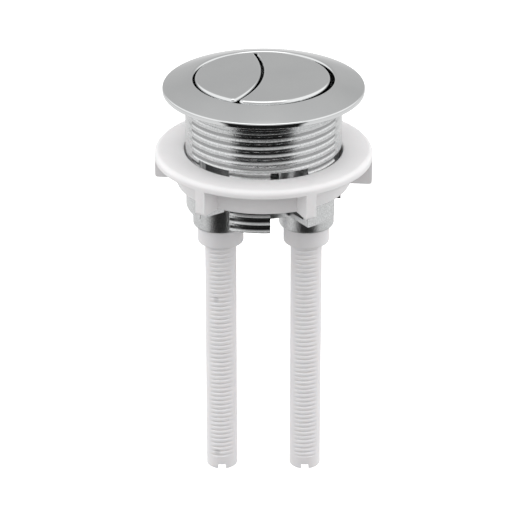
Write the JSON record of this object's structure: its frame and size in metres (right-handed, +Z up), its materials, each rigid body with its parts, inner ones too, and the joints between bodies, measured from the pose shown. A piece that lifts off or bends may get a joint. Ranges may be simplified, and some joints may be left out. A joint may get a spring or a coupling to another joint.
{
  "type": "push button cistern actuator",
  "caption": "Cistern push-button actuator: chromed flange and threaded barrel, split flush buttons, finned clamp nut and long screw-adjusted push rods.",
  "frame": {"origin": "centre of the flange's underside, on the barrel's axis", "axes": "+Z up along the barrel towards the buttons, +X from the half-flush to the full-flush button, -Y to the front"},
  "size_m": [0.0816, 0.0816, 0.1631],
  "materials": {
    "chrome": "bright chrome plating on plastic",
    "rod_plastic": "moulded white plastic",
    "nut_plastic": "moulded white plastic, soft gloss",
    "spring_steel": "drawn spring wire"
  },
  "bodies": {
    "housing": {"housing": "chrome", "half_flush_spring": "spring_steel", "full_flush_spring": "spring_steel"},
    "half_flush": {"half_flush_button": "chrome", "half_flush_plunger": "rod_plastic"},
    "full_flush": {"full_flush_button": "chrome", "full_flush_plunger": "rod_plastic"},
    "half_rod": {"half_flush_rod": "rod_plastic"},
    "full_rod": {"full_flush_rod": "rod_plastic"},
    "nut": {"clamp_nut": "nut_plastic"}
  },
  "joints": [
    {"name": "half_flush_press", "type": "slide", "parent": "housing", "child": "half_flush", "axis": [0, 0, -1], "range_m": [0, 0.006], "stiffness_N_per_m": 1000, "springref_m": -0.004, "deforming": ["half_flush_spring"]},
    {"name": "full_flush_press", "type": "slide", "parent": "housing", "child": "full_flush", "axis": [0, 0, -1], "range_m": [0, 0.006], "stiffness_N_per_m": 1000, "springref_m": -0.004, "deforming": ["full_flush_spring"]},
    {"name": "half_rod_adjust", "type": "slide", "parent": "half_flush", "child": "half_rod", "axis": [0, 0, 1], "range_m": [-0.009, 0.02]},
    {"name": "full_rod_adjust", "type": "slide", "parent": "full_flush", "child": "full_rod", "axis": [0, 0, 1], "range_m": [-0.009, 0.02]},
    {"name": "nut_clamp", "type": "slide", "parent": "housing", "child": "nut", "axis": [0, 0, 1], "range_m": [-0.014, 0.0174]}
  ]
}
